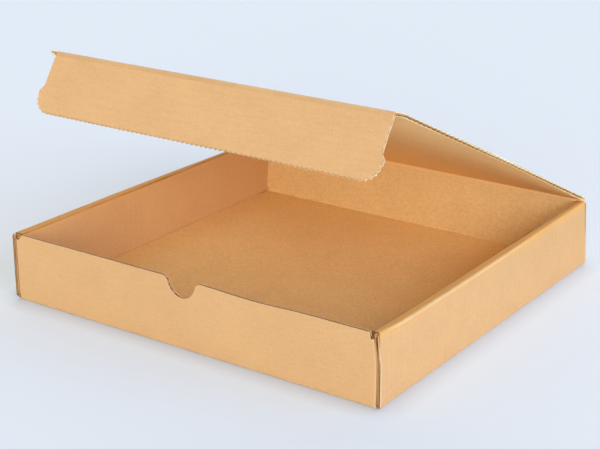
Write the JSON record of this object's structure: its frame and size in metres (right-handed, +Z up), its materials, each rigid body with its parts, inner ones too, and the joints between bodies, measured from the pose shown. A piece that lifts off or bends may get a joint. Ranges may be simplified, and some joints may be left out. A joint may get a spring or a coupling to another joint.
{
  "type": "shipping box",
  "caption": "Shallow square corrugated shipping box, one folded sheet with rolled side walls, thumb notch, hinged lid and tuck flap with ears.",
  "frame": {"origin": "centre of the tray's underside, on the surface it rests on", "axes": "+X along the front wall to the right, +Y from the front wall to the hinged back wall, +Z up"},
  "size_m": [0.321, 0.3102, 0.1843],
  "materials": {
    "kraft_tray": "matte brown paper board with fine fibres and faint flute lines",
    "kraft_lid": "matte brown paper board with fine fibres and faint flute lines",
    "kraft_flap": "matte brown paper board with fine fibres and faint flute lines"
  },
  "bodies": {
    "tray": {"tray": "kraft_tray"},
    "lid": {"lid": "kraft_lid"},
    "tuck_flap": {"tuck_flap": "kraft_flap"}
  },
  "joints": [
    {"name": "lid_hinge", "type": "hinge", "parent": "tray", "child": "lid", "pos_m": [0, 0.1538, 0.0542], "axis": [-1, 0, 0], "range_deg": [-25.6, 154.4]},
    {"name": "flap_fold", "type": "hinge", "parent": "lid", "child": "tuck_flap", "pos_m": [0, -0.11495, 0.18296], "axis": [1, 0, 0], "range_deg": [-82, 16]}
  ]
}
